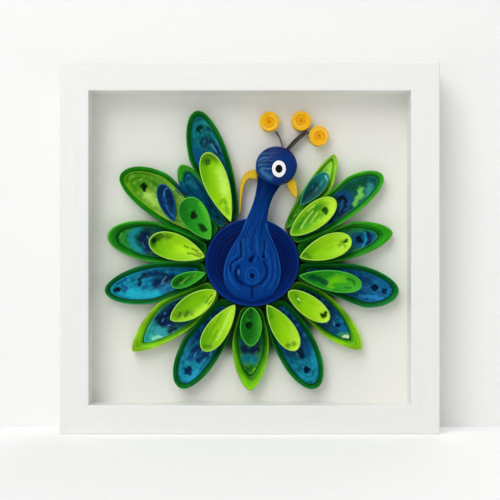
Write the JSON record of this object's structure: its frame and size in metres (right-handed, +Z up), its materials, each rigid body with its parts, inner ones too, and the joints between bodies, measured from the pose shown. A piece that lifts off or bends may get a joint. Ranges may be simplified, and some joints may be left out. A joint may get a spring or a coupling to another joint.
{
  "type": "framed quilled paper picture",
  "caption": "White box frame holding a peacock made of coiled and pinched coloured paper strips glued on edge to a white card.",
  "frame": {"origin": "middle of the frame's bottom edge, half-way through its depth", "axes": "+X to the viewer's right, +Y from the picture towards the wall, +Z up"},
  "size_m": [0.25, 0.038, 0.245],
  "materials": {
    "white_paint": "white satin paint",
    "white_card": "matte",
    "brown_board": "matte",
    "steel": "brushed",
    "brass_plate": "plain",
    "dark_green_paper": "satin",
    "mid_green_paper": "satin",
    "lime_paper": "satin",
    "leaf_lime_paper": "satin",
    "blue_paper": "satin",
    "teal_paper": "satin",
    "cyan_paper": "satin",
    "navy_paper": "satin",
    "body_blue_paper": "satin",
    "breast_blue_paper": "satin",
    "white_paper": "satin",
    "black_paper": "satin",
    "ochre_paper": "satin",
    "yellow_paper": "satin",
    "brown_paper": "satin"
  },
  "bodies": {
    "root": {"top_rail": "white_paint", "bottom_rail": "white_paint", "left_rail": "white_paint", "right_rail": "white_paint", "mount_card": "white_card", "back_panel": "brown_board", "panel_points": "steel", "wall_hanger": "brass_plate", "hanger_nails": "brass_plate", "feather_01_rim": "dark_green_paper", "feather_01_core": "blue_paper", "feather_01_leaf": "leaf_lime_paper", "feather_02_rim": "mid_green_paper", "feather_02_core": "teal_paper", "feather_02_leaf": "mid_green_paper", "feather_03_rim": "mid_green_paper", "feather_03_core": "lime_paper", "feather_03_leaf": "navy_paper", "feather_04_rim": "mid_green_paper", "feather_04_core": "teal_paper", "feather_04_leaf": "leaf_lime_paper", "feather_05_rim": "dark_green_paper", "feather_05_core": "cyan_paper", "feather_05_leaf": "mid_green_paper", "feather_06_rim": "lime_paper", "feather_06_core": "navy_paper", "feather_06_leaf": "leaf_lime_paper", "feather_07_rim": "dark_green_paper", "feather_07_core": "blue_paper", "feather_07_leaf": "leaf_lime_paper", "feather_08_rim": "lime_paper", "feather_08_core": "teal_paper", "feather_08_leaf": "mid_green_paper", "feather_09_rim": "dark_green_paper", "feather_09_core": "blue_paper", "feather_09_leaf": "leaf_lime_paper", "feather_10_rim": "lime_paper", "feather_10_core": "blue_paper", "feather_10_leaf": "leaf_lime_paper", "feather_11_rim": "dark_green_paper", "feather_11_core": "blue_paper", "feather_11_leaf": "mid_green_paper", "feather_12_rim": "mid_green_paper", "feather_12_core": "blue_paper", "feather_12_leaf": "leaf_lime_paper", "feather_13_rim": "mid_green_paper", "feather_13_core": "teal_paper", "feather_13_leaf": "leaf_lime_paper", "feather_14_rim": "lime_paper", "feather_14_core": "lime_paper", "feather_14_leaf": "teal_paper", "body_coil": "body_blue_paper", "neck_and_breast": "breast_blue_paper", "head_coil": "body_blue_paper", "eye_white": "white_paper", "eye_pupil": "black_paper", "beak": "ochre_paper", "nape_curl": "ochre_paper", "crest_stems": "brown_paper", "crest_coils": "yellow_paper"}
  },
  "joints": []
}
